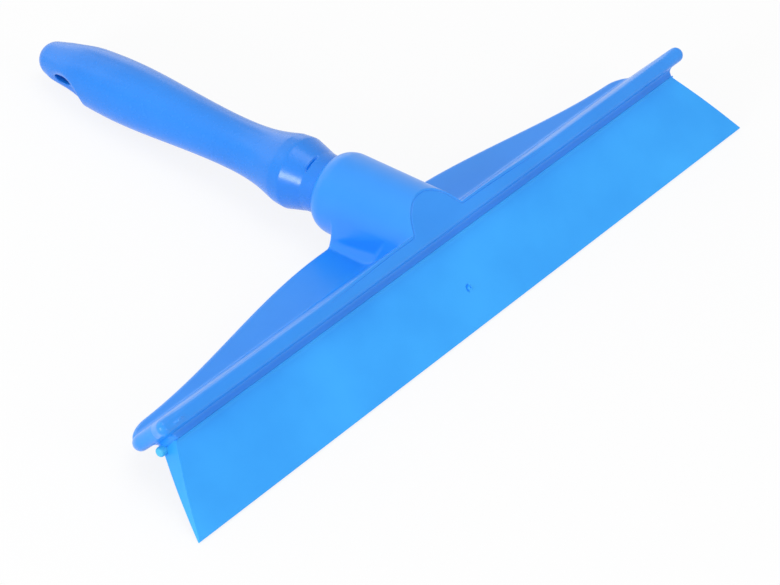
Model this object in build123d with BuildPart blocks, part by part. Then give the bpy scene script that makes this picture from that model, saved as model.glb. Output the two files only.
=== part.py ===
from build123d import *
from math import acos, atan, atan2, cos, degrees, radians, sin, sqrt, tan
import os

os.makedirs("parts", exist_ok=True)

# A hand squeegee lying on a table: it rests on its wiping edge and on the belly of its handle.
# Sizes are millimetres. In the head, heights run up the blade from the line where it leaves the
# head, and setbacks run back from the flat front of the bar. Along the handle, stations run back
# from the point where the handle's axis meets the front of the bar, and rises are square to it.

# Blade
edge_width = 300.0  # wiping edge, end to end
root_inset = 5.1  # how far its ends, just under the head, stop short of the bar's
end_hollow = 0.2  # how far the slanting ends curve in from straight
blade_drop = 30.0  # from the head to the wiping edge
face_setback = 6.65  # wiping face at the root
edge_setback = 7.2  # wiping face at the edge
root_thickness = 8.8
edge_thickness = 1.0
flex_depth = 3.0  # line that the blade bends about, below the head
bead_overhang = 2.0  # how far the blade's core sticks out of the channel at each end
bead_radius = 2.0
bead_height = 0.1
bead_setback = 1.0  # behind the middle of the blade

# Bar
bar_length = 281.6
bar_top = 8.75
bar_bottom = 3.1
bar_depth = 28.3
bar_corner_radius = 12.0  # back corners, seen from above
bar_round = 2.4  # top and bottom edges of the ends and the back
front_round = 1.6  # edges of the flat front

# Wings
wing_depth = 10.8  # face of the wings, below the socket's axis
wing_thickness = 4.5
wing_rim_radius = 1.7
wing_reach_middle = 42.8  # station of the back edge beside the socket
wing_reach_end = 29.7  # station of the back edge near the ends
wing_flat_middle = 26.0  # half width of the straight edge in the middle
wing_run_out = 1.8  # straight edge before the corners
wing_ease_middle = 30.0  # how gently the edge bends away in the middle
wing_ease_end = 35.0  # and how gently it runs out
wing_inset = 2.0  # how far the wings stop short of the bar's ends
wing_corner_radius = 12.0

# Channel under the bar
channel_inset = 3.3  # short of the bar's ends
channel_clearance = 0.3
lip_thickness = 0.4
groove_setback = 4.0  # top of the groove that the bar overhangs
groove_hollow = 0.5
heel_setback = 18.4  # top of the channel's back wall

# Socket
handle_lean = 42.26  # between the handle and the blade, in degrees
axis_drop = 2.54  # where the handle's axis meets the front of the bar, below the head
socket_radius = 15.05
saddle_splay = 0.85  # how far the saddle's foot stands out past the socket's side
saddle_overhang = 0.2  # past the wings' back edge
socket_overhang = 11.9  # past the saddle
rim_radius = 4.4
bore_radius = 10.55
bore_depth = 28.9
pocket_depth = 1.7
pocket_length = 17.0
pocket_height = 6.0
pocket_drop = 6.4  # lower edge of the pocket, below the axis
pocket_end_wall = 4.6

# Handle
thread_clearance = 0.05
end_clearance = 0.3
lead_chamfer = 1.2
thread_pitch = 5.0
thread_depth = 1.2
thread_width = 2.4  # of the groove, at the crest
thread_root_width = 1.2
thread_inset = 2.0  # from the last turn to the socket's end
thread_overcut = 0.6  # how far the groove's profile stands out past the crest
neck_length = 6.1
collar_step = 0.7
dome_length = 8.1
dome_rise = 2.15
dome_bulge = 0.3
rim_band_length = 4.8
rim_band_fall = 0.35
flare_length = 7.3
flare_fall = 1.9
grip_length = 106.6  # from the flare to the round end of the tail
waist_share = 0.176  # place along the grip, as a share of its length
waist_radius = 9.42
swell_share = 0.42
swell_radius = 10.5
belly_share = 0.668
belly_radius = 11.62
shoulder_share = 0.842
shoulder_radius = 10.55
tail_radius = 6.53
tail_slope = 0.257  # how fast the radius falls where the tail's round end starts
hang_inset = 14.6  # hole for hanging, from the end of the tail
hang_radius = 3.2
hang_turn = 24.0  # degrees that the screwed-in handle leaves the hole turned from level
dish_radius = 12.5
dish_floor = 5.9  # from the handle's axis to the bottom of the dish round the hole
dish_lead = 1.8  # middle of the dish, nearer the socket than the hole

lean = radians(handle_lean)
middle_setback = face_setback + root_thickness / 2
root_arc_radius = sqrt((root_thickness / 2) ** 2 + flex_depth**2)
channel_radius = root_arc_radius + channel_clearance
channel_mouth = sqrt(channel_radius**2 - flex_depth**2)
saddle_end = wing_reach_middle + saddle_overhang
socket_end = saddle_end + socket_overhang
bore_floor = socket_end - bore_depth
bar_half = bar_length / 2
bar_middle = (bar_top + bar_bottom) / 2
channel_length = bar_length - 2 * channel_inset

# Outline of the handle, as stations and radii
spigot_radius = bore_radius - thread_clearance
spigot_start = bore_floor + end_clearance
neck_end = socket_end + neck_length
collar_radius = spigot_radius + collar_step
dome_end = neck_end + dome_length
rim_band_radius = collar_radius + dome_rise
flare_start = dome_end + rim_band_length
flare_radius = rim_band_radius - rim_band_fall
flare_end = flare_start + flare_length
waist = flare_end + grip_length * waist_share
swell = flare_end + grip_length * swell_share
belly = flare_end + grip_length * belly_share
shoulder = flare_end + grip_length * shoulder_share
tail = flare_end + grip_length
tail_slant = atan(tail_slope)
tail_round = tail_radius / cos(tail_slant)
handle_end = tail + tail_round * (1 - sin(tail_slant))
grip_outline = Spline(
    (flare_start, flare_radius),
    (flare_end, flare_radius - flare_fall),
    (waist, waist_radius),
    (swell, swell_radius),
    (belly, belly_radius),
    (shoulder, shoulder_radius),
    (tail, tail_radius),
    tangents=[(flare_length, -flare_fall), (1, -tail_slope)],
)
tail_outline = JernArc((tail, tail_radius), (1, -tail_slope), tail_round, degrees(tail_slant) - 90)
grip_samples = [curve @ (i / 200) for curve in (grip_outline, tail_outline) for i in range(201)]


def in_head(station, rise):
    """Height and distance to the front, in the head, of a point given along the handle."""
    height = -axis_drop + station * cos(lean) + rise * sin(lean)
    ahead = -station * sin(lean) + rise * cos(lean)
    return height, ahead


# Rest: the table touches the back of the wiping edge and the lowest point of the grip
touch_height = -blade_drop
touch_ahead = -edge_setback - edge_thickness


def tilt_under(point):
    """Slope of the blade's own up direction when the table touches a point under the grip."""
    height, ahead = in_head(point.X, -point.Y)
    return atan2(touch_ahead - ahead, height - touch_height)


tilt = max(tilt_under(point) for point in grip_samples)
up = Vector(0, cos(tilt), sin(tilt))
ahead_dir = Vector(0, -sin(tilt), cos(tilt))
back_along = up * cos(lean) - ahead_dir * sin(lean)
rise_dir = up * sin(lean) + ahead_dir * cos(lean)


def table_y(height, ahead):
    """How far back on the table a point of the head lies, from the head's own origin."""
    return height * cos(tilt) - ahead * sin(tilt)


tail_y = max(table_y(*in_head(point.X, point.Y)) for point in grip_samples)
edge_y = table_y(-blade_drop, -edge_setback)
touch_z = touch_height * sin(tilt) + touch_ahead * cos(tilt)
head_origin = Vector(0, -(tail_y + edge_y) / 2, -touch_z)
axis_origin = head_origin - up * axis_drop
handle_axis = Axis(axis_origin, back_along)

section_plane = Plane(head_origin, x_dir=up, z_dir=(1, 0, 0))
front_plane = Plane(head_origin, x_dir=(1, 0, 0), z_dir=ahead_dir)
plan_plane = Plane(head_origin, x_dir=(-1, 0, 0), z_dir=up)
handle_plane = Plane(axis_origin, x_dir=back_along, z_dir=(1, 0, 0))
wing_plane = Plane(axis_origin, x_dir=(1, 0, 0), z_dir=rise_dir)
hang_axis = Vector(cos(radians(hang_turn)), 0, 0) + rise_dir * sin(radians(hang_turn))
hang_plane = Plane(axis_origin, x_dir=back_along, z_dir=hang_axis)


def across(station):
    """Plane square to the handle's axis, facing the front."""
    return Plane(axis_origin + back_along * station, x_dir=(1, 0, 0), z_dir=-back_along)


# Bar, cut off flat at the front
with BuildPart() as bar:
    with BuildSketch(plan_plane.offset(bar_bottom)):
        with BuildLine():
            FilletPolyline(
                (-bar_half, bar_depth),
                (bar_half, bar_depth),
                (bar_half, -bar_depth),
                (-bar_half, -bar_depth),
                radius=[0, 0, bar_corner_radius, bar_corner_radius],
                close=True,
            )
        make_face()
    extrude(amount=bar_top - bar_bottom)
    level_faces = bar.faces().filter_by(lambda face: abs(face.normal_at().dot(up)) > 0.99)
    fillet(level_faces.edges(), bar_round)
    split(bisect_by=front_plane, keep=Keep.BOTTOM)
    fillet(bar.faces().sort_by(Axis(head_origin, ahead_dir))[-1].edges(), front_round)

# Wings, a flat plate along the handle whose foot is buried in the bar
wing_half = bar_half - wing_inset
wing_foot = wing_reach_end - wing_corner_radius
wing_root = wing_foot - bar_depth
wing_corner = wing_half - wing_corner_radius
wing_flat_end = wing_corner - wing_run_out
with BuildPart() as wings:
    with BuildSketch(wing_plane.offset(-wing_depth)):
        with BuildLine():
            Polyline((0, wing_root), (0, wing_reach_middle), (wing_flat_middle, wing_reach_middle))
            Bezier(
                (wing_flat_middle, wing_reach_middle),
                (wing_flat_middle + wing_ease_middle, wing_reach_middle),
                (wing_flat_end - wing_ease_end, wing_reach_end),
                (wing_flat_end, wing_reach_end),
            )
            Line((wing_flat_end, wing_reach_end), (wing_corner, wing_reach_end))
            JernArc((wing_corner, wing_reach_end), (1, 0), wing_corner_radius, -90)
            Polyline((wing_half, wing_foot), (wing_half, wing_root), (0, wing_root))
        make_face()
        mirror(about=Plane.YZ)
    extrude(amount=-wing_thickness)
    flat_faces = wings.faces().filter_by(lambda face: abs(face.normal_at().dot(rise_dir)) > 0.99)
    fillet(flat_faces.edges(), wing_rim_radius)
    split(bisect_by=plan_plane.offset(bar_middle), keep=Keep.TOP)

# Socket and the saddle under it, cut off flush with the front of the bar
saddle_foot = -wing_depth - wing_thickness / 2
saddle_half_width = socket_radius + saddle_splay
foot_distance = sqrt(saddle_half_width**2 + saddle_foot**2)
touch_angle = acos(socket_radius / foot_distance) + atan2(saddle_foot, saddle_half_width)
touch_x = socket_radius * cos(touch_angle)
touch_rise = socket_radius * sin(touch_angle)
front_reach = saddle_end + socket_radius / tan(lean)
with BuildPart() as socket:
    with BuildSketch(across(saddle_end)):
        with BuildLine():
            Polyline(
                (touch_x, touch_rise),
                (saddle_half_width, saddle_foot),
                (-saddle_half_width, saddle_foot),
                (-touch_x, touch_rise),
            )
            ThreePointArc((-touch_x, touch_rise), (0, socket_radius), (touch_x, touch_rise))
        make_face()
    extrude(amount=front_reach)
    with BuildSketch(across(socket_end)):
        Circle(socket_radius)
    extrude(amount=bore_depth)
    split(bisect_by=front_plane, keep=Keep.BOTTOM)
    split(bisect_by=plan_plane.offset(bar_middle), keep=Keep.TOP)
    fillet(socket.faces().sort_by(handle_axis)[-1].edges(), rim_radius)

# Head: bar, wings, socket and channel block in one moulding
front_lip = -middle_setback + channel_mouth + lip_thickness
back_lip = -middle_setback - channel_mouth - lip_thickness
front_groove = (bar_bottom / 2, (front_lip - groove_setback) / 2 - groove_hollow)
back_groove = (bar_bottom / 2, (back_lip - heel_setback) / 2 + groove_hollow)
pocket_back = saddle_end - pocket_end_wall
pocket_front = pocket_back - pocket_length
with BuildPart() as head:
    add(bar.part)
    add(wings.part)
    add(socket.part)
    with BuildSketch(section_plane.offset(-channel_length / 2)):
        with BuildLine():
            Polyline(
                (bar_bottom, -groove_setback),
                (bar_middle, -groove_setback),
                (bar_middle, -heel_setback),
                (bar_bottom, -heel_setback),
            )
            ThreePointArc((bar_bottom, -heel_setback), back_groove, (0, back_lip))
            Line((0, back_lip), (0, front_lip))
            ThreePointArc((0, front_lip), front_groove, (bar_bottom, -groove_setback))
        make_face()
    extrude(amount=channel_length)
    with BuildSketch(section_plane.offset(-bar_half)):
        with Locations((-flex_depth, -middle_setback)):
            Circle(channel_radius)
    extrude(amount=bar_length, mode=Mode.SUBTRACT)
    with BuildSketch(across(socket_end)):
        Circle(bore_radius)
    extrude(amount=bore_depth, mode=Mode.SUBTRACT)
    with BuildSketch(wing_plane.offset(-pocket_drop)):
        with BuildLine():
            Polyline(
                (saddle_half_width - pocket_depth, pocket_front),
                (saddle_half_width + pocket_depth, pocket_front),
                (saddle_half_width + pocket_depth, pocket_back),
                (saddle_half_width, pocket_back),
                close=True,
            )
        make_face()
        mirror(about=Plane.YZ)
    extrude(amount=pocket_height, mode=Mode.SUBTRACT)
head.part.label = "head"
export_step(head.part, "parts/head.step")

# Blade: a wedge whose round top turns in the channel, cut to its slanting ends
root_half = bar_half - root_inset
edge_half = edge_width / 2
with BuildPart() as blade:
    with BuildSketch(section_plane.offset(-edge_half)):
        with BuildLine():
            Polyline(
                (0, -face_setback),
                (-blade_drop, -edge_setback),
                (-blade_drop, -edge_setback - edge_thickness),
                (0, -face_setback - root_thickness),
            )
            ThreePointArc(
                (0, -face_setback - root_thickness),
                (root_arc_radius - flex_depth, -middle_setback),
                (0, -face_setback),
            )
        make_face()
    extrude(amount=edge_width)
    with BuildSketch(front_plane):
        with BuildLine():
            Polyline(
                (0, -blade_drop),
                (0, root_arc_radius),
                (root_half, root_arc_radius),
                (root_half, 0),
            )
            ThreePointArc(
                (root_half, 0),
                ((root_half + edge_half) / 2 - end_hollow, -blade_drop / 2),
                (edge_half, -blade_drop),
            )
            Line((edge_half, -blade_drop), (0, -blade_drop))
        make_face()
        mirror(about=Plane.YZ)
    extrude(amount=-bar_depth, mode=Mode.INTERSECT)
    with BuildSketch(section_plane.offset(-channel_length / 2 - bead_overhang)):
        with Locations((bead_height, -middle_setback - bead_setback)):
            Circle(bead_radius)
    extrude(amount=channel_length + 2 * bead_overhang)
blade.part.label = "blade"
export_step(blade.part, "parts/blade.step")

# Handle: turned outline with a threaded spigot in the socket and a hole through its tail
dome_middle = ((neck_end + dome_end) / 2, (collar_radius + rim_band_radius) / 2 + dome_bulge)
thread_start = spigot_start - thread_pitch
thread_length = socket_end - thread_inset - thread_start
flank_slope = (thread_width - thread_root_width) / 2 / thread_depth
overcut_half = thread_width / 2 + thread_overcut * flank_slope
with BuildPart() as handle:
    with BuildSketch(handle_plane):
        with BuildLine():
            Polyline(
                (handle_end, 0),
                (spigot_start, 0),
                (spigot_start, spigot_radius - lead_chamfer),
                (spigot_start + lead_chamfer, spigot_radius),
                (neck_end, spigot_radius),
                (neck_end, collar_radius),
            )
            ThreePointArc((neck_end, collar_radius), dome_middle, (dome_end, rim_band_radius))
            Line((dome_end, rim_band_radius), (flare_start, flare_radius))
            add(grip_outline)
            add(tail_outline)
        make_face()
    revolve(axis=handle_axis)
    with BuildLine() as thread_path:
        Helix(
            thread_pitch,
            thread_length,
            spigot_radius,
            center=axis_origin + back_along * thread_start,
            direction=back_along,
        )
    thread_point = thread_path.line @ 0
    thread_out = thread_point - axis_origin - back_along * thread_start
    with BuildSketch(Plane(thread_point, x_dir=thread_out, z_dir=thread_path.line % 0)):
        with BuildLine():
            Polyline(
                (thread_overcut, overcut_half),
                (-thread_depth, thread_root_width / 2),
                (-thread_depth, -thread_root_width / 2),
                (thread_overcut, -overcut_half),
                close=True,
            )
        make_face()
    sweep(path=thread_path.line, is_frenet=True, mode=Mode.SUBTRACT)
    with BuildSketch(hang_plane):
        with Locations((handle_end - hang_inset, 0)):
            Circle(hang_radius)
    extrude(amount=belly_radius, both=True, mode=Mode.SUBTRACT)
    dish_middle = axis_origin + back_along * (handle_end - hang_inset - dish_lead)
    dish_offset = hang_axis * (dish_floor + dish_radius)
    with Locations(dish_middle + dish_offset, dish_middle - dish_offset):
        Sphere(dish_radius, mode=Mode.SUBTRACT)
handle.part.label = "handle"
export_step(handle.part, "parts/handle.step")
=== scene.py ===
from math import atan, cos, pi, radians, sin, tan

import bmesh
import bpy
import numpy as np
from mathutils import Matrix


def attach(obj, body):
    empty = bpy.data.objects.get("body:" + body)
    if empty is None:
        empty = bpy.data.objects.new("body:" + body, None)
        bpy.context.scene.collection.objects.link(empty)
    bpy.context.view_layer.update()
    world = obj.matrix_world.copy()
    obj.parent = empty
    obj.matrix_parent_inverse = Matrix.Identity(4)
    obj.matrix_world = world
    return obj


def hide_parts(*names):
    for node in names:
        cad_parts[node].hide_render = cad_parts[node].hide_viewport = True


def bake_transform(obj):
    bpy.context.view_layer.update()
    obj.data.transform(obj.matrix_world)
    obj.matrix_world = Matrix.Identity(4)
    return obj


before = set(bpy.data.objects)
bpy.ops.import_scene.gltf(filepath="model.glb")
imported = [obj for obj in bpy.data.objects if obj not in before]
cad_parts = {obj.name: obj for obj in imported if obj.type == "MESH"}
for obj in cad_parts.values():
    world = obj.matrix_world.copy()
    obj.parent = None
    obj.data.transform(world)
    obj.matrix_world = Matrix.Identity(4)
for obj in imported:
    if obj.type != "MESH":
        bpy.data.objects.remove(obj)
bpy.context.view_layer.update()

# A window squeegee, lying on its wiping edge and on the belly of its handle. Shapes are worked out
# in millimetres. In the head, x runs along the blade, height up the blade from the line where it
# leaves the head, and ahead is square to the bar's flat front. Along the handle, stations run back
# from where its axis meets the front, and rises are square to it. A pair named FROM and RUN says
# where a change along x starts and over how much it goes on.
MM = 0.001
TILT = radians(37.994576)  # of the blade from level
LEAN = radians(42.26)  # of the handle's axis from the blade
HEAD_ORIGIN = np.array([0.0, -85.5685, 24.9298])
UP = np.array([0.0, cos(TILT), sin(TILT)])
AHEAD = np.array([0.0, -sin(TILT), cos(TILT)])
ACROSS = np.array([1.0, 0.0, 0.0])
OTHER_SIDE = np.array([-1.0, 1.0, 1.0])
AXIS_DROP = 2.54  # how far below the head's origin the handle's axis meets the front
COT_LEAN = cos(LEAN) / sin(LEAN)
QUARTER = pi / 2
TINY = 1e-9  # added to a length that may be zero
MERGE = 0.004  # points closer than this are one
CRISP_ANGLE = radians(38)

# Bar
BAR_HALF = 140.8
BAR_MIDDLE = 5.925  # height of the middle of its thickness
BAR_NOSE = 2.825  # half its thickness; the ends and the back are fully rounded
BAR_DEPTH = 28.3
BAR_CORNER = 10.0  # of its plan, at the back
FRONT_CORNER = 3.0  # the flat front turns back at its ends
RIDGE_ROUND = 1.7
RIDGE_ROLL = 2.5  # the ridge rolls over this much further back than down
RIDGE_CRISP = 0.3  # near the socket the ridge is a crisp edge
RIDGE_FROM, RIDGE_RUN = 20.0, 45.0
FOOT_ROUND = 1.4  # lower edge of the flat front
END_ROUND = 2.4  # both edges at the ends
END_FROM, END_RUN = 128.0, 8.0
EDGE_LIMIT = 0.95  # the most that an edge's radius may be of half the thickness
BAND = 1.3  # strip along the upper edge of the flat front
BAND_LIMIT = 0.35  # the most of the flat front that it takes
BAND_ROWS = np.array([1.0, 0.8, 0.64, 0.56, 0.48, 0.40, 0.30, 0.15, 0.0])[:, None]
LINE_DEEP = 0.2  # fine moulded line in that strip
LINE_PLACE, LINE_WIDE = 0.48, 0.09  # as shares of its width
LINE_FROM, LINE_RUN = 30.0, 45.0
FLARE_FRONT, FLARE_SLOPE, FLARE_LEAST = 2.0, 0.3, -0.5  # the ends are longer at the front
FLARE_FROM, FLARE_RUN = 126.0, 12.0
PIP_X, PIP_HEIGHT = 133.2, 5.1  # small pip near the left end of the flat front
PIP_LONG, PIP_WIDE, PIP_PROUD = 1.5, 0.45, 0.9
PIP_BACK = -3.0  # only what is ahead of this carries it

# Wings
WING_RISE = -10.8
WING_MID_RISE = -13.05
WING_RIM = 1.7
WING_MIDDLE = 43.4  # station of their back edge beside the socket
WING_END = 29.4  # and towards their ends
WING_STRAIGHT = 20.0  # x where it leaves the first of these, and where it comes to the second
WING_RUN = 132.4
WING_CORNER = 126.0  # x where their round corner starts
WING_CORNER_WIDE = 13.5
WING_CORNER_DEEP = 10.7
WING_LEAST, WING_FADE = 24.4, 2.4  # a wing that reaches less far is lost in the bar's round end
WING_INNER = 25.9  # station where the underside of the wings ends at the bar
VALLEY = 0.9  # hollow between bar and wing
VALLEY_FROM, VALLEY_RUN = 18.0, 25.0
SOCKET_VALLEY = 2.6  # the same hollow beside the socket
SOCKET_FRONT_VALLEY = 1.8
VALLEY_WIDENS = 8.0  # how far behind the front it has its full width
BACK_ROUND = 2.6  # lower back edge of the bar
BACK_LIMIT, BACK_LEAST = 0.92, 0.01  # at most this share of half the thickness, and this much more
BACK_BELOW = 0.9  # how far it starts below the wings' underside

# Socket, and the saddle that it sits on
SOCKET_RADIUS = 15.05
SOCKET_END = 54.9
SOCKET_RIM = 4.3
SOCKET_RIM_LONG = 6.6
BORE_RADIUS = 10.6
BORE_DEPTHS = np.array([0.15, 4.0, 9.0, 9.0])[:, None]
BORE_OPEN = np.array([1.0, 1.0, 1.0, 0.0])[:, None]  # the last row closes it
TUBE_BURIED = 2.5  # the lower part of the tube starts this far inside the saddle
SADDLE_END = 43.4
SADDLE_SPLAY = 0.063
SADDLE_ROUND = 1.3
SADDLE_FADE = 3.0  # its edge has its full round this far down the wall
SADDLE_ON_TUBE = 0.72  # share of its back wall that ends on the socket's tube
SADDLE_TURN = radians(60.0)  # how far down round the tube it ends
WALL_TOUCH = radians(3.6)  # where the saddle's wall leaves the socket's round
FOOT_FILLET = 2.2

# Pocket in the saddle's wall
POCKET_STATION, POCKET_RISE = 37.2, -5.6  # a point on its slanting upper line
POCKET_SLANT = 0.398
POCKET_FLOOR, POCKET_LEDGE, POCKET_FRONT = 0.21, 0.5, 0.7  # slopes of its three sides
POCKET_FOOT = -9.0  # rise where the ledge starts
POCKET_START, POCKET_BROW = 18.8, 1.45  # station and rise where the wall in front starts
POCKET_RAKE = 0.46
POCKET_SOFT = (0.8, 0.7, 0.25)  # hollows between the sides, and the round of its edge
POCKET_END, POCKET_FADE = 40.5, 1.5  # station where it starts to fade out, and over how much
POCKET_ROOF = 3.0  # it lies below this rise

# Columns and rows of the head's skin
ARCH, WALL, FILLET, WING = range(4)  # kinds of column
ARCH_COLUMNS = 34
WING_COLUMNS = (30.0, 9), (120.0, 50)  # x, and steps up to it
FRONT_ROWS = 9
EDGE_ROWS = 8
UPPER_ROWS = 84
OVER_TURN, OVER_FLAT = 9, 3
OVER_ROWS = OVER_TURN + OVER_FLAT
SLOPE_ROWS, BACK_ROWS, FLOOR_ROWS = 30, 16, 40  # with the curl, as many as the bar's rows above
UPPER_SHARE = 0.8  # of a quarter turn, spread over the upper rows; the rows over the back take the rest


def from_head(x, height, ahead):
    """Points of the head frame, as an array of metres in the frame of the whole object."""
    x, height, ahead = np.broadcast_arrays(x, height, ahead)
    return MM * (HEAD_ORIGIN + x[..., None] * ACROSS + height[..., None] * UP + ahead[..., None] * AHEAD)


def to_section(station, rise):
    """Height and ahead of a point that is given along the handle."""
    height = -AXIS_DROP + station * cos(LEAN) + rise * sin(LEAN)
    return height, -station * sin(LEAN) + rise * cos(LEAN)


def to_handle(height, ahead):
    """Station and rise of a point that is given in the head."""
    up = height + AXIS_DROP
    return up * cos(LEAN) - ahead * sin(LEAN), up * sin(LEAN) + ahead * cos(LEAN)


def from_handle(x, station, rise):
    """Points given along the handle, as an array of metres."""
    return from_head(x, *to_section(station, rise))


def mix(a, b, share):
    """The point that lies a share of the way from a to b."""
    return a + (b - a) * share


def ease(t):
    """Smooth step from 0 to 1."""
    t = np.clip(t, 0.0, 1.0)
    return t * t * (3 - 2 * t)


def bell(t):
    """Smooth bump, 1 at zero and fading away on both sides."""
    return np.exp(-(t**2))


def soft_max(a, b, k):
    """The larger of two heights, with a hollow of width k where they cross; also the share of b."""
    share = np.clip(0.5 + 0.5 * (b - a) / k, 0.0, 1.0)
    return mix(a, b, share) + k * share * (1 - share), share


def soft_min(a, b, k):
    """The smaller of two values, rounded over a width k where they cross."""
    return -soft_max(-a, -b, k)[0]


def steps(n):
    """n + 1 even steps from 0 to 1, as a column."""
    return np.linspace(0.0, 1.0, n + 1)[:, None]


def quarter(n):
    """n + 1 even turns from 0 to a right angle, as a column."""
    return steps(n) * QUARTER


def runs(start, *parts):
    """Places along a line: even steps in runs that are given by their end and number of steps."""
    places = [np.array([start])]
    for end, count in parts:
        places.append(np.linspace(places[-1][-1], end, count + 1)[1:])
    return np.concatenate(places)


def conic(start, corner, end, weight, t):
    """Round a corner between two tangent points; the weight is the cosine of half the turn."""
    a, b, c = (1 - t) ** 2, 2 * t * (1 - t) * weight, t**2
    return tuple((a * p + b * q + c * r) / (a + b + c) for p, q, r in zip(start, corner, end))


def arc_through(start, middle, end, n):
    """Even points on the circle through three points: its centre is as far from each of them."""
    (ax, ay), (bx, by), (cx, cy) = start, middle, end
    d = 2 * (ax * (by - cy) + bx * (cy - ay) + cx * (ay - by))
    a, b, c = ax**2 + ay**2, bx**2 + by**2, cx**2 + cy**2
    centre_x = a * (by - cy) + b * (cy - ay) + c * (ay - by)
    centre_y = a * (cx - bx) + b * (ax - cx) + c * (bx - ax)
    centre = np.array([centre_x, centre_y]) / d
    first, last = (np.arctan2(*(np.array(p) - centre)[::-1]) for p in (start, end))
    turn = (last - first + pi) % (2 * pi) - pi
    angle = first + turn * np.linspace(0, 1, n)
    radius = np.hypot(*(np.array(start) - centre))
    return centre + radius * np.stack([np.cos(angle), np.sin(angle)], -1)


def grid_faces(rows, columns, first):
    """Quads of a grid of points, numbered row by row from first."""
    index = first + np.arange(rows * columns).reshape(rows, columns)
    return np.stack([index[:-1, :-1], index[:-1, 1:], index[1:, 1:], index[1:, :-1]], -1).reshape(-1, 4)


def both_sides(grid):
    """A grid of the right half and its mirror image."""
    return [grid, grid * OTHER_SIDE]


def place(name, data):
    """A new object in the scene."""
    made = bpy.data.objects.new(name, data)
    bpy.context.scene.collection.objects.link(made)
    return made


def make_piece(name, grids, material, caps=(), shade_depths=None):
    """One mesh from grids of points, with doubles merged, faces turned outwards and crisp edges.
    Shade depths gives each grid's points a share of painted shade, from 0 outside to 1 deep in a hole."""
    points, faces, first = [], [], 0
    for grid in grids:
        rows, columns = grid.shape[:2]
        faces += grid_faces(rows, columns, first).tolist()
        points.append(grid.reshape(-1, 3))
        first += rows * columns
    for cap in caps:
        faces.append(list(range(first, first + len(cap))))
        points.append(cap)
        first += len(cap)
    mesh = bpy.data.meshes.new(name)
    mesh.from_pydata(np.concatenate(points).tolist(), [], faces)
    # share of painted shade in holes, kept with the points
    if shade_depths is not None:
        deep = np.concatenate([depth.ravel() for depth in shade_depths])
        mesh.attributes.new("painted_hole_shade", "FLOAT", "POINT").data.foreach_set("value", deep)
    work = bmesh.new()
    work.from_mesh(mesh)
    bmesh.ops.remove_doubles(work, verts=work.verts, dist=MERGE * MM)
    bmesh.ops.recalc_face_normals(work, faces=work.faces)
    work.to_mesh(mesh)
    work.free()
    mesh.shade_smooth()
    mesh.set_sharp_from_angle(angle=CRISP_ANGLE)
    mesh.materials.append(material)
    piece = place(name, mesh)
    return piece


# Head

# shares of the way from the bar's front to its back, the same above and below so that the skins meet
BACKWARDS = np.sin(QUARTER * runs(0.0, (UPPER_SHARE, UPPER_ROWS), (1.0, OVER_ROWS)))[:, None]


def nose(inside):
    """Half the bar's thickness at a distance inside its outline: a half circle, then flat."""
    out = 1 - np.clip(inside, 0.0, BAR_NOSE) / BAR_NOSE
    return BAR_NOSE * np.sqrt(np.clip(1 - out**2, 0.0, 1.0))


def bar_inside(x, ahead):
    """Distance inside the bar's plan, a rectangle with round back corners."""
    side = np.abs(x) - (BAR_HALF - BAR_CORNER)
    back = -ahead - (BAR_DEPTH - BAR_CORNER)
    both = np.hypot(np.maximum(side, 0), np.maximum(back, 0))
    return BAR_CORNER - np.where((side > 0) & (back > 0), both, np.maximum(side, back))


def bar_back(x):
    """Where the bar's plan ends at the back: straight, with a quarter circle at each end."""
    side = np.clip(np.abs(x) - (BAR_HALF - BAR_CORNER), 0.0, BAR_CORNER)
    return -(BAR_DEPTH - BAR_CORNER) - np.sqrt(BAR_CORNER**2 - side**2)


def bar_front(x):
    """Where the bar's plan starts at the front: flat, turning back at the ends."""
    side = np.clip(np.abs(x) - (BAR_HALF - FRONT_CORNER), 0.0, FRONT_CORNER)
    return np.sqrt(FRONT_CORNER**2 - side**2) - FRONT_CORNER


def near_end(x):
    """0 along the bar, easing to 1 towards its ends, where its edges are rounder."""
    return ease((x - END_FROM) / END_RUN)


def foot_round(x):
    """Radius of the bar's lower front edge, kept inside half the thickness."""
    return np.minimum(mix(FOOT_ROUND, END_ROUND, near_end(x)), EDGE_LIMIT * nose(BAR_HALF - x))


def end_flare(x, ahead):
    """How far the bar's ends stand out: a little longer at the front than at the back."""
    out = np.maximum(FLARE_FRONT + FLARE_SLOPE * ahead, FLARE_LEAST)
    return np.sign(x) * ease((np.abs(x) - FLARE_FROM) / FLARE_RUN) * out


def wing_reach(x):
    """Station of the wings' back edge: level beside the socket, easing down, then a round corner."""
    x = np.abs(x)
    level = mix(WING_MIDDLE, WING_END, ease((x - WING_STRAIGHT) / (WING_RUN - WING_STRAIGHT)))
    out = np.clip((x - WING_CORNER) / WING_CORNER_WIDE, 0.0, 1.0)
    return level - WING_CORNER_DEEP * (1 - np.sqrt(1 - out**2))


def wing_share(x):
    """1 where the wing stands behind the bar, 0 where only the bar's round end is left."""
    return ease((wing_reach(x) - WING_LEAST) / WING_FADE)


def saddle_edge(rise):
    """Round of the saddle's back edge: none at the socket's side, its full size further down."""
    return SADDLE_ROUND * ease((SOCKET_RADIUS * sin(WALL_TOUCH) - rise) / SADDLE_FADE)


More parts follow.
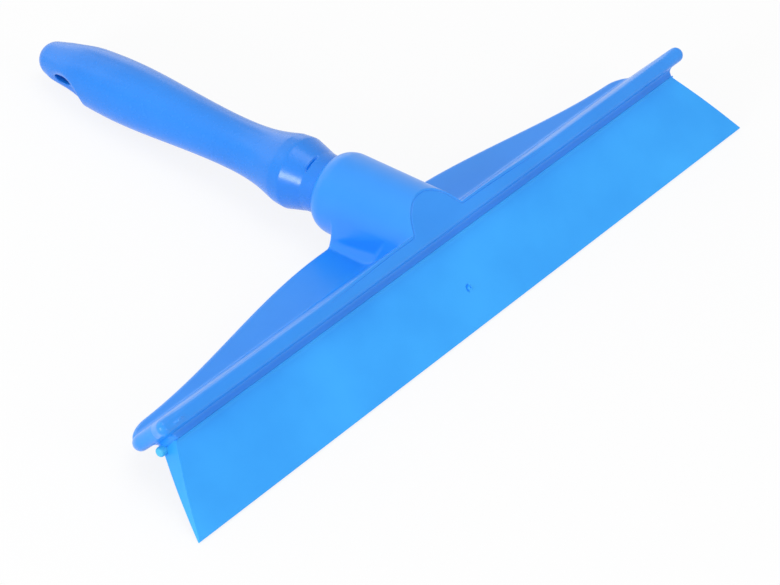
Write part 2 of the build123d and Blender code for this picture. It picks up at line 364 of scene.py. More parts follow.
def head_columns():
    """Outline across the head from its middle to the right end: the socket's arch, the saddle's
    wall, a hollow fillet and the wing. Gives x and rise, and the kind of each column."""
    turn = np.linspace(QUARTER, WALL_TOUCH, ARCH_COLUMNS)
    arch = np.stack([SOCKET_RADIUS * np.cos(turn), SOCKET_RADIUS * np.sin(turn)], -1)
    touch = arch[-1]
    splay = atan(SADDLE_SPLAY)
    half_turn = (QUARTER - splay) / 2
    corner_x = touch[0] + (touch[1] - WING_RISE) * SADDLE_SPLAY
    length = FOOT_FILLET * tan(half_turn)
    wall_end = np.array([corner_x - length * sin(splay), WING_RISE + length * cos(splay)])
    wall = mix(touch, wall_end, steps(26)[1:])
    wing_start = (corner_x + length, WING_RISE)
    fillet = conic(wall_end, (corner_x, WING_RISE), wing_start, cos(half_turn), steps(8)[1:, 0])
    fillet = np.stack(fillet, -1)
    tip = BAR_HALF - BAR_NOSE
    wing_x = runs(wing_start[0], *WING_COLUMNS, (tip, 33))[1:]
    wing_x = np.concatenate([wing_x, tip + BAR_NOSE * np.sin(quarter(16))[1:, 0]])
    wing = np.stack([wing_x, np.full_like(wing_x, WING_RISE)], -1)
    kind = np.repeat([ARCH, WALL, FILLET, WING], [len(arch), len(wall), len(fillet), len(wing)])
    return np.concatenate([arch, wall, fillet, wing]), kind


def pocket(station, rise):
    """Depth of the wedge sunk into the saddle's wall: its floor leans in from a slanting upper line
    and meets a ledge below and a short wall in front. It fades out before the saddle's back."""
    floor = POCKET_FLOOR * (POCKET_RISE + POCKET_SLANT * (POCKET_STATION - station) - rise)
    ledge = POCKET_LEDGE * (rise - POCKET_FOOT)
    front = POCKET_FRONT * (station - POCKET_START - POCKET_RAKE * (POCKET_BROW - rise))
    depth = soft_min(soft_min(floor, ledge, POCKET_SOFT[0]), front, POCKET_SOFT[1])
    depth = soft_max(depth, 0.0 * depth, POCKET_SOFT[2])[0] * (rise < POCKET_ROOF)
    return depth * (1 - ease((station - POCKET_END) / POCKET_FADE))


def head_skin():
    """The head's outside, as columns along the outline across it and rows that go up the flat front,
    over the ridge, back along the upper side and over its back edge. The upper side is the higher of
    the bar's deck and the line that the outline draws along the handle, with a hollow between. Gives
    x, height and ahead, and the columns' kinds and outline."""
    outline, kind = head_columns()
    x, rise = outline.T[:, None, :]
    half = nose(BAR_HALF - x)
    front = bar_front(x)
    bottom = BAR_MIDDLE - half
    end = near_end(x)
    foot = foot_round(x)

    def deck(ahead):
        """Height of the bar's upper side."""
        return BAR_MIDDLE + nose(bar_inside(x, ahead))

    def top(ahead):
        """Height of the upper side, and the share in it of the line along the handle."""
        k = mix(SOCKET_FRONT_VALLEY, SOCKET_VALLEY, ease((front - ahead) / VALLEY_WIDENS))
        k = mix(k, VALLEY, ease((x - VALLEY_FROM) / VALLEY_RUN))
        return soft_max(deck(ahead), -AXIS_DROP + rise / sin(LEAN) - ahead * COT_LEAN, k)

    # lower front edge
    t = quarter(EDGE_ROWS)
    foot_rows = (x + 0 * t, bottom + foot * (1 - np.cos(t)), front - foot * (1 - np.sin(t)))

    # ridge: the edge between the flat front and the upper side
    front_top, share = top(front)
    away = ease((x - RIDGE_FROM) / RIDGE_RUN)
    ridge = mix(RIDGE_CRISP, RIDGE_ROUND, away) + (END_ROUND - RIDGE_ROUND) * end
    ridge = np.minimum(ridge, EDGE_LIMIT * half)
    size = np.hypot(COT_LEAN * share, 1.0)
    half_turn = np.arccos(np.clip(COT_LEAN * share / size, -1, 1)) / 2
    reach = ridge * np.tan(half_turn)
    edge_ahead = front - mix(1, RIDGE_ROLL, away * (1 - end)) * reach / size
    edge = front_top - reach
    t = steps(EDGE_ROWS)[1:]
    upper_end = (top(edge_ahead)[0], edge_ahead)
    ridge_rows = (x + 0 * t,) + conic((edge, front), (front_top, front), upper_end, np.cos(half_turn), t)

    # flat front, with a fine moulded line a little inside its upper edge
    along_x, along_height = np.gradient(x[0])[None], np.gradient(edge[0])[None]
    along_height[:, 0] = 0.0  # the arch is level in the middle
    length = np.hypot(along_x, along_height) + TINY
    band = BAND_ROWS * np.minimum(BAND, BAND_LIMIT * (edge - bottom - foot))
    line = LINE_DEEP * bell((BAND_ROWS - LINE_PLACE) / LINE_WIDE) * (1 - ease((x - LINE_FROM) / LINE_RUN))
    band_rows = (x + band * along_height / length, edge - band * along_x / length, front - line)
    t = steps(FRONT_ROWS)[1:-1]
    face_rows = (mix(x, band_rows[0][:1], t), mix(bottom + foot, band_rows[1][:1], t), front + 0 * t)

    # upper side, to where the back edge starts to round over, and that edge
    last = np.where(kind == WING, wing_reach(x), SADDLE_END)
    rim = np.where(kind == ARCH, 0.0, saddle_edge(rise)) + (WING_RIM - SADDLE_ROUND) * (kind == FILLET)
    rim = np.where(kind == WING, WING_RIM, rim)
    line_end = to_section(last - rim, rise)[1]
    along = mix(edge_ahead, line_end, steps(UPPER_ROWS)[1:])
    turn = quarter(OVER_TURN)[1:]
    flat = steps(OVER_FLAT)[1:]
    over_station = np.concatenate([last - rim + rim * np.sin(turn), last + 0 * flat])
    over_rise = np.concatenate([rise - rim * (1 - np.cos(turn)), mix(rise - rim, WING_MID_RISE, flat)])
    over = to_section(over_station, over_rise)
    wing_rows = (np.concatenate([top(along)[0], over[0]]), np.concatenate([along, over[1]]))
    bar_along = mix(edge_ahead, bar_back(x), BACKWARDS[1:])
    bar_rows = (deck(bar_along), bar_along)
    upper = tuple(mix(bar, wing, wing_share(x)) for bar, wing in zip(bar_rows, wing_rows))
    upper_rows = (x + 0 * upper[0], *upper)
    parts = (foot_rows, face_rows, band_rows, ridge_rows, upper_rows)
    return [np.concatenate([part[i] for part in parts]) for i in range(3)] + [kind, outline]


def head_under(x):
    """Underside: down the back of the wings and round their edge, forward along their slope, round the
    bar's lower back edge and forward to the front. At the ends it turns into the bar's round back."""
    end = wing_reach(x)
    turn = quarter(9)
    low = 2 * WING_MID_RISE - WING_RISE
    station = np.concatenate([end, end - WING_RIM + WING_RIM * np.cos(turn)])
    rise = np.concatenate([0 * end + WING_MID_RISE, low + WING_RIM - WING_RIM * np.sin(turn) + 0 * end])
    curl = to_section(station, rise)
    inner = to_section(WING_INNER, low)
    slope = tuple(mix(c[-1], i, steps(SLOPE_ROWS)[1:]) for c, i in zip(curl, inner))
    half = nose(BAR_HALF - x)
    bottom = BAR_MIDDLE - half
    back, front = bar_back(x), bar_front(x) - foot_round(x)
    turn = quarter(BACK_ROWS)[1:]
    deep = np.minimum(BACK_ROUND, BACK_LIMIT * half + BACK_LEAST)
    start = np.minimum(inner[0] - BACK_BELOW, BAR_MIDDLE)
    edge = (mix(bottom, start, 1 - np.sin(turn)), back + deep * (1 - np.cos(turn)))
    floor_ahead = mix(edge[1][-1], front, steps(FLOOR_ROWS)[1:])
    floor = (bottom + 0 * floor_ahead, floor_ahead)
    wing_rows = tuple(np.concatenate(part) for part in zip(curl, slope, edge, floor))
    bar_ahead = mix(front, back, BACKWARDS[::-1])
    bar_rows = (BAR_MIDDLE - nose(bar_inside(x, bar_ahead)), bar_ahead)
    return [mix(bar, wing, wing_share(x)) for bar, wing in zip(bar_rows, wing_rows)]


def saddle_back(outline, kind):
    """Back wall of the saddle, ruled from its rounded edge to the socket's tube."""
    wall = np.flatnonzero(kind == WALL)
    wall = np.concatenate([[wall[0] - 1], wall, [wall[-1] + 1]])
    x, rise = outline[wall].T[:, None, :]
    share = np.linspace(0, 1, len(wall))[None, :]
    angle = mix(WALL_TOUCH, -SADDLE_TURN, np.minimum(share / SADDLE_ON_TUBE, 1.0))
    rest = np.clip((share - SADDLE_ON_TUBE) / (1 - SADDLE_ON_TUBE), 0.0, 1.0)
    low_x = SOCKET_RADIUS * np.cos(angle) + rest * (x[:, -1:] - SOCKET_RADIUS * cos(SADDLE_TURN))
    low_rise = np.maximum(SOCKET_RADIUS * np.sin(angle), WING_MID_RISE)
    low_rise = np.where(rest > 0, WING_MID_RISE, low_rise)
    edge = saddle_edge(rise)
    edge[:, -1] = WING_RIM
    gap = np.hypot(low_x - x, low_rise - rise) + TINY
    turn = quarter(8)
    more = np.minimum(edge, gap) / gap
    flat = mix(more, 1, steps(4)[1:])
    inwards = np.concatenate([more * (1 - np.cos(turn)), flat])
    station = np.concatenate([SADDLE_END - edge + edge * np.sin(turn), SADDLE_END + 0 * flat])
    return from_handle(mix(x, low_x, inwards), station, mix(rise, low_rise, inwards))


def socket_tube():
    """The socket behind the saddle: a tube with a rounded rim, turned in to the bore."""
    turns = runs(QUARTER, (WALL_TOUCH, ARCH_COLUMNS - 1), (-QUARTER, 29))[None, :]
    rim_turn = quarter(16)[1:]
    straight = np.array([0.0, 1.0, 2.0, SOCKET_END - SOCKET_RIM_LONG - SADDLE_END])[:, None]
    rim_station = SOCKET_END - SOCKET_RIM_LONG * (1 - np.sin(rim_turn))
    rim_radius = SOCKET_RADIUS - SOCKET_RIM * (1 - np.cos(rim_turn))
    station = np.concatenate([SADDLE_END + straight, rim_station, SOCKET_END - BORE_DEPTHS])
    radius = np.concatenate([SOCKET_RADIUS + 0 * straight, rim_radius, BORE_RADIUS * BORE_OPEN])
    below = np.arange(turns.size)[None, :] >= ARCH_COLUMNS
    hidden = below & (np.arange(len(station)) == 0)[:, None]
    return from_handle(radius * np.cos(turns), station - TUBE_BURIED * hidden, radius * np.sin(turns))


def head_grids():
    """All grids of the head. The left half mirrors the right one, and has a pip on its front."""
    x, height, ahead, kind, outline = head_skin()
    x = x - pocket(*to_handle(height, ahead)) * ((kind == WALL) | (kind == FILLET))
    flared = x + end_flare(x, ahead)
    skin = from_head(flared, height, ahead)
    upper = len(skin) - OVER_ROWS
    pip = PIP_PROUD * bell((x - PIP_X) / PIP_LONG) * bell((height - PIP_HEIGHT) / PIP_WIDE)
    left_face = from_head(flared, height, ahead + pip * (ahead > PIP_BACK))[:upper] * OTHER_SIDE
    wings = slice(np.argmax(kind == FILLET), None)
    outline_x = outline[None, :, 0]
    under_height, under_ahead = head_under(outline_x)
    under = from_head(outline_x + end_flare(outline_x, under_ahead), under_height, under_ahead)
    halves = (skin[upper - 1 :, wings], saddle_back(outline, kind), under, socket_tube())
    return [skin[:upper], left_face] + [grid for half in halves for grid in both_sides(half)]


# Channel block under the bar: its section carried from end to end, with a foot at each end. Points of
# the section are given as height and ahead.
CHANNEL_HALF = 134.0
CHANNEL_FRONT = -5.8
COVE = 1.5
COVE_BURIED = (0.3, 0.2)  # how far up and ahead its upper edge goes into the bar
LIP = 0.45  # height of the front wall's lower edge
LIP_ROUND = 0.12
CHANNEL_MOUTH = [(LIP, -6.58), (2.625, -11.05), (0.0, -15.81)]
CHANNEL_HEEL = (0.0, -16.11)
CHANNEL_REAR = [(0.12, -16.26), (1.6, -16.85), (3.3, -18.4)]
CHANNEL_BURIED = [(5.0, -18.4), (6.0, -10.0)]
FOOT_FRONT_END = 135.3
FOOT_REAR_END = 137.2
FOOT_SPLAY = 0.35  # the front corner leans out upwards
FOOT_REAR = -18.5
FOOT_CORNER = 1.0  # at the front
FOOT_HEEL = 7.0  # at the rear
FOOT_START = 128.0  # x where its rear wall starts


def channel_grids():
    """The block that holds the blade: a wall set back under the bar, with a cove above it, and the
    round channel behind it. At each end the wall turns round a corner into the foot."""
    bottom = BAR_MIDDLE - BAR_NOSE
    turn = np.linspace(QUARTER, 0, 9)
    cove = np.stack([bottom - COVE * (1 - np.sin(turn)), CHANNEL_FRONT + COVE * (1 - np.cos(turn))], -1)
    down = np.linspace(bottom - COVE, LIP + LIP_ROUND, 6)[1:]
    face = np.stack([down, np.full_like(down, CHANNEL_FRONT)], -1)
    turn = np.linspace(0, QUARTER, 5)[1:]
    lip = np.stack([down[-1] - LIP_ROUND * np.sin(turn), CHANNEL_FRONT - LIP_ROUND * (1 - np.cos(turn))], -1)
    wall = np.concatenate([cove[:1] + COVE_BURIED, cove, face, lip])
    opening = arc_through(*CHANNEL_MOUTH, 18)
    rear = arc_through(*CHANNEL_REAR, 8)
    section = np.concatenate([wall, opening, [CHANNEL_HEEL], rear, CHANNEL_BURIED])
    x = np.linspace(-CHANNEL_HALF, CHANNEL_HALF, 40)
    block = from_head(x[None, :], section[:, :1], section[:, 1:])

    height, ahead = wall[:, :1], wall[:, 1:]
    spread = ahead - CHANNEL_FRONT
    front_end = FOOT_FRONT_END + FOOT_SPLAY * np.minimum(height, bottom) + spread
    turn = np.linspace(0, QUARTER, 12)[None, :]
    foot_x = [
        CHANNEL_HALF + 0 * height,
        front_end - FOOT_CORNER * (1 - np.sin(turn)),
        FOOT_REAR_END + spread - FOOT_HEEL * (1 - np.cos(turn)),
        FOOT_START + 0 * height,
    ]
    foot_ahead = [
        ahead,
        ahead - FOOT_CORNER * (1 - np.cos(turn)),
        FOOT_REAR - spread + FOOT_HEEL * (1 - np.sin(turn)),
        FOOT_REAR - spread,
    ]
    foot = from_head(np.concatenate(foot_x, 1), height, np.concatenate(foot_ahead, 1))
    return [block] + both_sides(foot), [foot[-1], foot[-1, ::-1] * OTHER_SIDE]


# Blade, with the points of its section as height and ahead
EDGE_HALF = 150.0
ROOT_HALF = 135.7
END_BULGE = 0.5
BLADE_DROP = 30.0
BLADE_FRONT = -6.65
BLADE_REAR = -15.45
BLADE_MIDDLE = -11.05
FRONT_TAPER, REAR_TAPER = -0.55, 7.25
BLADE_ROOT = [(0.42, -6.95), (2.325, BLADE_MIDDLE), (0.0, BLADE_REAR)]
SHOULDER = np.array(
    [(0.42, -6.3), (0.4, -6.1), (0.35, -6.02), (0.2, -6.0), (0.05, -6.03), (-0.05, -6.12), (-0.12, -6.3),
     (-0.17, -6.5)]
)
WIPING_EDGE = np.array([(-29.93, -7.26), (-30.0, -7.4), (-30.0, -8.0), (-29.93, -8.14)])
FACE_TOP = 0.4
FACE_ROWS = (14.5, 13), (19.7, 42), (29.65, 9)  # drop, and steps down to it, closest round the mark below
BEND_END = -13.0  # height down to which the soft blade bends when it is pressed

# Mark where the mould was filled, on the front of the blade
GATE_X, GATE_HEIGHT = -0.1, -17.1
GATE_TINY = 1e-6  # added to the distance from its middle, which may be zero
GATE_HALF = 4.0  # columns lie close this far on both sides
STUB_RADIUS, STUB_WIDE, STUB_PROUD, STUB_DIMPLE = 0.6, 0.28, 0.45, 0.3
HOLLOW_RADIUS, HOLLOW_WIDE, HOLLOW_DEEP = 1.3, 0.3, 0.8
HOLLOW_SIDE = (-0.85, 0.5)  # direction from the stub, in x and height
HOLLOW_START, HOLLOW_FADE = -0.1, 0.8  # cosine of the angle where it starts, and how much more to full depth


def gate_mark(x, height):
    """How far the mark stands out: a low ring with a dimple in it, and a hollow round one side."""
    right, up = x - GATE_X, height - GATE_HEIGHT
    off = np.hypot(right, up)
    aside = (HOLLOW_SIDE[0] * right + HOLLOW_SIDE[1] * up) / (off + GATE_TINY)
    ring = STUB_PROUD * bell((off - STUB_RADIUS) / STUB_WIDE) - STUB_DIMPLE * bell(off / STUB_WIDE)
    hollow = HOLLOW_DEEP * ease((aside - HOLLOW_START) / HOLLOW_FADE)
    return ring - hollow * bell((off - HOLLOW_RADIUS) / HOLLOW_WIDE)


def blade_grids():
    """A wedge: rows round its section, columns from end to end, ends slanting out to the edge. A low
    round stub stands on the front where the mould was filled, with a hollow to one side of it."""
    root = arc_through(*BLADE_ROOT, 10)
    down = runs(FACE_TOP, *FACE_ROWS)
    face = np.stack([-down, BLADE_FRONT + FRONT_TAPER * down / BLADE_DROP], -1)
    rear = np.stack([-down, BLADE_REAR + REAR_TAPER * down / BLADE_DROP], -1)[::-1]
    section = np.concatenate([root[::-1], SHOULDER, face, WIPING_EDGE, rear, root[-1:]])
    height, ahead = section[:, :1], section[:, 1:]
    share = runs(-EDGE_HALF, (-GATE_HALF, 74), (GATE_HALF, 64), (EDGE_HALF, 74))[None, :] / EDGE_HALF
    drop = np.clip(-height / BLADE_DROP, 0, 1)
    x = share * (mix(ROOT_HALF, EDGE_HALF, drop) + END_BULGE * np.sin(pi * drop))
    row = np.arange(len(section))[:, None] - len(root) - len(SHOULDER)
    on_face = (row >= 0) & (row < len(face))
    grid = from_head(x, height, ahead + on_face * gate_mark(x, height))
    return [grid], [grid[:, 0], grid[::-1, -1]]


CORE_HEIGHT, CORE_AHEAD = 0.1, -13.0
CORE_END = np.array(  # x and radius
    [(134.0, 0.0), (134.0, 1.75), (138.6, 1.75), (139.1, 1.6), (139.4, 1.3), (139.5, 0.8), (139.5, 0.0)]
)


def core_grids():
    """Ends of the blade's core: an outline turned into short round studs, one under each bar end."""
    turn = np.linspace(0, 2 * pi, 33)[None, :]
    along, radius = CORE_END.T[:, :, None]
    height, ahead = CORE_HEIGHT + radius * np.cos(turn), CORE_AHEAD + radius * np.sin(turn)
    return both_sides(from_head(along, height, ahead))


# Handle: stations and radii from inside the socket to the tail
NECK = [
    (48.0, 0.0), (48.0, 10.45), (54.0, 10.5), (55.5, 10.64), (57.0, 10.76), (58.5, 10.87), (59.5, 10.94),
    (60.0, 10.98), (60.25, 11.0), (60.45, 11.02), (60.6, 11.035), (60.75, 11.05), (60.9, 11.075),
    (61.05, 11.11), (61.3, 11.18),
]
COLLAR_CONE = (61.7, 11.3), (68.6, 13.21)
COLLAR_ROUND = [
    (68.85, 13.28), (69.1, 13.33), (69.4, 13.35), (70.5, 13.3), (72.0, 13.17), (73.3, 13.05), (73.7, 13.02),
    (73.9, 12.99),
]
GRIP = np.array(
    [(73.9, 13.0), (81.2, 11.1), (99.9616, 9.42), (125.972, 10.5), (152.4088, 11.6), (165.2, 11.09),
     (170.9572, 10.55), (187.8, 6.53)]
)
GRIP_START, (TAIL, TAIL_RADIUS) = GRIP[0, 0], GRIP[-1]
GRIP_START_SLOPE = -1.9 / 7.3
TAIL_SLOPE = 0.257
TAIL_CUT = 163.0  # behind this the tail is made of two sides round the hang hole
GRIP_ROWS = (80.0, 7), (TAIL_CUT, 59)  # station, and steps up to it

# Short slit in the collar, with its ends as degrees round the handle from the top
SLIT_STATION, SLIT_WIDE, SLIT_DEEP = 60.75, 0.3, 0.9
SLIT_FIRST, SLIT_FIRST_FADE = -46.0, 12.0
SLIT_LAST, SLIT_LAST_FADE = 2.0, 16.0

# Hang hole, in a scooped dish
HANG = 178.264  # station of its middle
HANG_RADIUS = 3.2
HANG_LIP = 0.5
HANG_TURN = radians(24.0)  # the screwed-in handle rests with its hole this far from level
HANG_SHADE = 3.0  # HANG_SHADE = 3.0 # depth at which its wall has its full painted shade
DISH, DISH_ACROSS = 176.464, -1.2  # station and across of its middle
DISH_RADIUS = 12.5
DISH_FLOOR = 5.9
DISH_EDGE = 2.6


def tail_ball():
    """Radius and station of the ball that rounds the tail: it goes on from the last radius at its slope."""
    slant = atan(TAIL_SLOPE)
    ball = TAIL_RADIUS / cos(slant)
    return ball, TAIL - ball * sin(slant)


def grip_radius(station):
    """Smooth curve through the grip's radii (a clamped cubic spline), then a round end."""
    s, r = GRIP.T
    h = np.diff(s)
    slope = np.diff(r) / h
    n = len(s)
    system, right = np.zeros((n, n)), np.zeros(n)
    system[0, :2], right[0] = (2 * h[0], h[0]), 6 * (slope[0] - GRIP_START_SLOPE)
    system[-1, -2:], right[-1] = (h[-1], 2 * h[-1]), 6 * (-TAIL_SLOPE - slope[-1])
    inner = np.arange(1, n - 1)
    system[inner, inner - 1], system[inner, inner + 1] = h[:-1], h[1:]
    system[inner, inner] = 2 * (h[:-1] + h[1:])
    right[inner] = 6 * (slope[1:] - slope[:-1])
    bend = np.linalg.solve(system, right)
    i = np.clip(np.searchsorted(s, station) - 1, 0, n - 2)
    u, v = s[i + 1] - station, station - s[i]
    curve = (bend[i] * u**3 + bend[i + 1] * v**3) / (6 * h[i])
    curve += (r[i] / h[i] - bend[i] * h[i] / 6) * u + (r[i + 1] / h[i] - bend[i + 1] * h[i] / 6) * v
    ball, centre = tail_ball()
    return np.where(station > TAIL, chord(ball, station - centre), curve)


def chord(radius, off):
    """Half the chord of a circle at a distance from its middle."""
    return np.sqrt(np.clip(radius**2 - off**2, 0.0, None))


def from_tail(station, across, reach):
    """Points of the handle, with reach along the hang hole's axis and across square to it."""
    turned_x = reach * cos(HANG_TURN) - across * sin(HANG_TURN)
    return from_handle(turned_x, station, reach * sin(HANG_TURN) + across * cos(HANG_TURN))


def side_reach(station, across):
    """How far the tail reaches along the hole's axis, with a dish scooped out round the hole."""
    off = np.hypot(station - DISH, across - DISH_ACROSS)
    dish = DISH_FLOOR + DISH_RADIUS - chord(DISH_RADIUS, off)
    return soft_min(chord(grip_radius(station), across), dish, DISH_EDGE)


def handle_grids():
    """Turned outline as rows along the axis, and the two sides of the tail round the hang hole. Gives
    the grids, and for each of their points a share of painted shade that grows with depth in the hole."""
    grip = runs(GRIP_START, *GRIP_ROWS)[1:]
    grip = np.stack([grip, grip_radius(grip)], -1)
    profile = np.concatenate([NECK, np.linspace(*COLLAR_CONE, 12), COLLAR_ROUND, grip])
    around = np.linspace(-QUARTER, QUARTER, 73)
    turn = np.concatenate([around, around[1:] + pi])[None, :]
    station, radius = profile[:, :1], profile[:, 1:]
    azimuth = np.degrees(np.arctan2(np.cos(turn + HANG_TURN), np.sin(turn + HANG_TURN)))
    slit = ease((azimuth - SLIT_FIRST) / SLIT_FIRST_FADE) * ease((SLIT_LAST - azimuth) / SLIT_LAST_FADE)
    radius = radius - SLIT_DEEP * slit * bell((station - SLIT_STATION) / SLIT_WIDE)
    body = from_tail(station, radius * np.sin(turn), radius * np.cos(turn))

    # tail: rays from the hole to the ring at the cut and to the outline seen along the hole
    ring_across = grip_radius(np.array(TAIL_CUT)) * np.sin(around[::-1])
    ring = np.stack([np.full_like(ring_across, TAIL_CUT), ring_across], -1)
    ball, centre = tail_ball()
    along = mix(TAIL_CUT, centre + ball, np.sin(quarter(45))[:, 0])
    lower = np.stack([along, -grip_radius(along)], -1)
    lower[-1, 1] = 0.0
    outline = np.concatenate([ring, lower[1:], (lower * np.array([1.0, -1.0]))[::-1][1:]])
    middle = np.array([HANG, 0.0])
    away = outline - middle
    ray = away / np.hypot(*away.T)[:, None]
    mouth = (HANG_RADIUS + HANG_LIP) * ray
    points = middle + mix(mouth, away, np.sin(quarter(43))[:, :, None])
    reach = side_reach(points[..., 0], points[..., 1])
    reach[-1] = chord(grip_radius(outline[:, 0]), outline[:, 1])
    reach[-1, len(ring) - 1 :] = 0.0

    # hole: its wall, and the lip that rounds over into the dish
    fold = quarter(6)[:-1]
    inner = steps(9)[:-1]
    wall = np.concatenate([0 * inner, HANG_LIP * (1 - np.cos(fold))])[:, :, None]
    depth = np.concatenate([inner * (reach[0] - HANG_LIP), reach[0] - HANG_LIP * (1 - np.sin(fold))])
    points = np.concatenate([middle + (HANG_RADIUS + wall) * ray, points])
    # painted shade on the hole's wall, growing with depth
    deep = np.concatenate([ease((reach[0] - depth) / HANG_SHADE), 0 * reach])
    reach = np.concatenate([depth, reach])
    sides = [from_tail(points[..., 0], points[..., 1], side * reach) for side in (1.0, -1.0)]
    return [body] + sides, [np.zeros(body.shape[:2]), deep, deep]


# Materials. Flow marks are a few centimetres across. The grain of a spark-eroded mould is about 0.1 mm
# and would not show, so it is drawn 2 mm wide.
FLOW = 30.0
GRAIN = 2.0
GRAIN_DEEP, GRAIN_SHARE = 0.02, 0.06  # depth and strength of its relief
GLOSS_SPREAD = 0.02  # how far the grain moves the roughness up and down
NOISE_LOW, NOISE_HIGH = 0.3, 0.7  # what most of a noise lies between


def linear(colour):
    """An sRGB hex colour as linear red, green, blue and alpha."""
    parts = [int(colour[i : i + 2], 16) / 255 for i in (1, 3, 5)]
    return tuple(p / 12.92 if p <= 0.04045 else ((p + 0.055) / 1.055) ** 2.4 for p in parts) + (1.0,)


def empty_tree(owner):
    """The cleared node tree of a material or world."""
    owner.use_nodes = True
    owner.node_tree.nodes.clear()
    return owner.node_tree


def add(tree, kind, links=None, **settings):
    """A shader node with its settings; links gives each input a value or another node's output."""
    made = tree.nodes.new(kind)
    for key, value in settings.items():
        setattr(made, key, value)
    for key, value in (links or {}).items():
        if isinstance(value, bpy.types.NodeSocket):
            tree.links.new(value, made.inputs[key])
        else:
            made.inputs[key].default_value = value
    return made


def moulded(name, colour, deep, roughness, ior, hole_shade=None):
    """Moulded plastic: flow marks in the colour, a faint spark-eroded grain in gloss and relief. With a
    hole shade colour, the walls of holes darken to it with their depth: painted shade."""
    material = bpy.data.materials.new(name)
    tree = empty_tree(material)
    where = add(tree, "ShaderNodeTexCoord").outputs["Object"]
    flow, grain = (
        add(
            tree, "ShaderNodeTexNoise",
            {"Vector": where, "Scale": 1 / (width * MM), "Detail": detail, "Roughness": 0.5},
        ).outputs["Fac"]
        for width, detail in ((FLOW, 3.0), (GRAIN, 1.0))
    )
    share, gloss = (
        add(
            tree, "ShaderNodeMapRange",
            {"Value": noise, "From Min": NOISE_LOW, "From Max": NOISE_HIGH, "To Min": least, "To Max": most},
        ).outputs["Result"]
        for noise, least, most in (
            (flow, 0.0, 1.0),
            (grain, roughness - GLOSS_SPREAD, roughness + GLOSS_SPREAD),
        )
    )
    marks = {0: share, 6: linear(deep), 7: linear(colour)}
    tint = add(tree, "ShaderNodeMix", marks, data_type="RGBA").outputs[2]
    # painted shade: the walls of holes darken to the hole shade colour with their depth
    if hole_shade:
        depth = add(tree, "ShaderNodeAttribute", attribute_name="painted_hole_shade").outputs["Fac"]
        tint = add(tree, "ShaderNodeMix", {0: depth, 6: tint, 7: linear(hole_shade)}, data_type="RGBA").outputs[2]
    bumps = {"Height": grain, "Strength": GRAIN_SHARE, "Distance": GRAIN_DEEP * MM}
    relief = add(tree, "ShaderNodeBump", bumps).outputs["Normal"]
    look = {"Base Color": tint, "Roughness": gloss, "Normal": relief, "IOR": ior}
    surface = add(tree, "ShaderNodeBsdfPrincipled", look)
    add(tree, "ShaderNodeOutputMaterial", {"Surface": surface.outputs["BSDF"]})
    return material


# Polypropylene, injection moulded: pigment all through, so full colour even in the shade, under a thin
# satin sheen that whitens at the edges. The handle is a slightly deeper and glossier batch.
head_plastic = moulded("moulded_polypropylene_head", "#2A93F5", "#228CEE", 0.30, 1.49)
# The hang hole's wall darkens to a deep navy with its depth: painted shade.
handle_plastic = moulded("moulded_polypropylene_handle", "#1984EA", "#117DE3", 0.26, 1.49, "#0A3AA8")
# Thermoplastic elastomer, injection moulded: a lighter blue, dull and even, with cloudier flow marks
# than the plastic; its core, seen at the ends, is paler.
blade_elastomer = moulded("moulded_elastomer_blade", "#2FABFF", "#229EF7", 0.52, 1.50)
core_elastomer = moulded("moulded_elastomer_core", "#46BCEC", "#40B5E6", 0.50, 1.50)

# Pieces
block, block_caps = channel_grids()
head = make_piece("squeegee_head", head_grids() + block, head_plastic, block_caps)
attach(head, "head")
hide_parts("head")

wedge, wedge_caps = blade_grids()
blade = make_piece("wiping_blade", wedge, blade_elastomer, wedge_caps)
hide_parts("blade")
core_ends = make_piece("blade_core_ends", core_grids(), core_elastomer)
bend = [from_head(0.0, height, BLADE_MIDDLE).tolist() for height in (0.0, BEND_END)]
for piece in (blade, core_ends):
    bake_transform(piece)

turned, hole_shade_depths = handle_grids()
handle = make_piece("squeegee_handle", turned, handle_plastic, shade_depths=hole_shade_depths)
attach(handle, "handle")
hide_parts("handle")

# Stage: pale floor, even white surroundings and soft lamps, in metres
FLOOR_HALF = 6.0
FLOOR_DROP = 0.0002
FLOOR_GLOW = 0.86  # share of plain white in the floor that is seen; the rest shows the shadow
WORLD_LIGHT = 0.50  # light of the surroundings on the object
LAMP_DISTANCE = 1.6
WHITE = (1.0, 1.0, 1.0, 1.0)
PAPER = (0.93, 0.93, 0.93, 1.0)


def seen(tree):
    """1 for what the camera sees itself, in a gloss or through glass, 0 for light on the object."""
    path = add(tree, "ShaderNodeLightPath").outputs
    direct = {0: path["Is Camera Ray"], 1: path["Is Glossy Ray"]}
    direct = add(tree, "ShaderNodeMath", direct, operation="ADD").outputs[0]
    return add(tree, "ShaderNodeMath", {0: direct, 1: path["Is Transmission Ray"]}, operation="ADD").outputs[0]


def facing(spot, direction, right=None):
    """Matrix of a lamp or camera at a spot that looks along a direction, level unless right is given."""
    forward = direction / np.linalg.norm(direction)
    side = np.cross(forward, (0.0, 0.0, 1.0)) if right is None else right
    side = side / np.linalg.norm(side)
    axes = np.stack([side, np.cross(side, forward), -forward], -1)
    return Matrix([(*row, p) for row, p in zip(axes, spot)] + [(0, 0, 0, 1)])


def soft_lamp(name, bearing, height, size, watts):
    """A square soft box, given by its angles round and above the object, facing it."""
    data = bpy.data.lights.new(name, "AREA")
    data.shape = "SQUARE"
    data.size = size
    data.energy = watts
    bearing, height = radians(bearing), radians(height)
    direction = np.array([cos(bearing) * cos(height), sin(bearing) * cos(height), sin(height)])
    place(name, data).matrix_world = facing(LAMP_DISTANCE * direction, -direction)


floor_mesh = bpy.data.meshes.new("floor")
floor_corners = [(x * FLOOR_HALF, y * FLOOR_HALF, 0.0) for x, y in ((-1, -1), (1, -1), (1, 1), (-1, 1))]
floor_mesh.from_pydata(floor_corners, [], [(0, 1, 2, 3)])
floor = place("floor", floor_mesh)
floor.location.z = -FLOOR_DROP

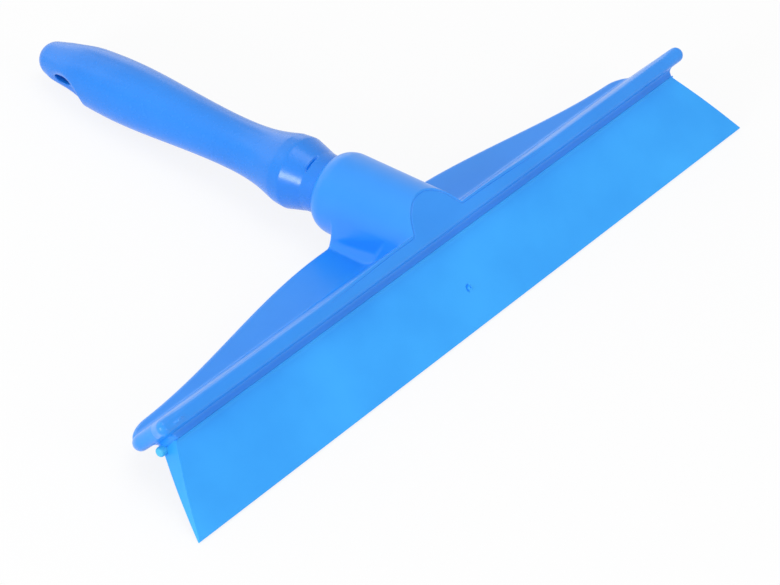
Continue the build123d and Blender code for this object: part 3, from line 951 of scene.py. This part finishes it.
# Matt white paper: even and without gloss
paper = bpy.data.materials.new("white_paper")
tree = empty_tree(paper)
sheet = add(tree, "ShaderNodeBsdfDiffuse", {"Color": PAPER})
glow = add(tree, "ShaderNodeEmission", {"Color": WHITE, "Strength": 1.0})
lift = add(tree, "ShaderNodeMath", {0: seen(tree), 1: FLOOR_GLOW}, operation="MULTIPLY")
mixed = {"Fac": lift.outputs[0], 1: sheet.outputs[0], 2: glow.outputs[0]}
add(tree, "ShaderNodeOutputMaterial", {"Surface": add(tree, "ShaderNodeMixShader", mixed).outputs[0]})
floor_mesh.materials.append(paper)

world = bpy.data.worlds.new("white_studio")
bpy.context.scene.world = world
tree = empty_tree(world)
level = add(tree, "ShaderNodeMapRange", {"Value": seen(tree), "To Min": WORLD_LIGHT, "To Max": 1.0})
sky = add(tree, "ShaderNodeBackground", {"Color": WHITE, "Strength": level.outputs["Result"]})
add(tree, "ShaderNodeOutputWorld", {"Surface": sky.outputs[0]})

# name, degrees round and above the object, side in metres, watts
soft_lamp("left_softbox", 178, 15, 0.48, 9.0)
soft_lamp("left_fill", 203, 18, 1.4, 3.8)
soft_lamp("front_softbox", 270, 25, 0.7, 3.8)
soft_lamp("back_softbox", 90, 20, 1.6, 4.4)
soft_lamp("rim_softbox", 50, 9, 0.8, 1.5)
soft_lamp("high_softbox", 138, 50, 1.6, 1.6)
soft_lamp("top_softbox", 300, 84, 1.0, 6.4)

# Camera: the photograph's place, turn and lens, found from the object's own outlines
SWING = radians(38.587)
DIP = radians(1.444)
ROLL = radians(35.244)
FOCAL = 3428.34  # in pixels of the photograph
WIDTH = 780.0  # of the photograph, in pixels
CAMERA = np.array([-747.3, 26.8, 892.1])  # x, height and ahead
head_axes = np.stack([ACROSS, UP, AHEAD])
view = np.array([sin(SWING) * cos(DIP), -sin(DIP), -cos(SWING) * cos(DIP)])
level_right = np.array([cos(SWING), 0.0, sin(SWING)])
level_down = np.cross(view, level_right)
right = level_right * cos(ROLL) + level_down * sin(ROLL)
lens = bpy.data.cameras.new("photo_camera")
lens.sensor_width = 36.0
lens.lens = FOCAL / WIDTH * lens.sensor_width
lens.clip_start = 0.05
lens.clip_end = 50.0
camera = place("photo_camera", lens)
camera.matrix_world = facing(MM * (HEAD_ORIGIN + CAMERA @ head_axes), view @ head_axes, right @ head_axes)
bpy.context.scene.camera = camera

bpy.context.scene.view_settings.view_transform = "Standard"
bpy.context.view_layer.update()
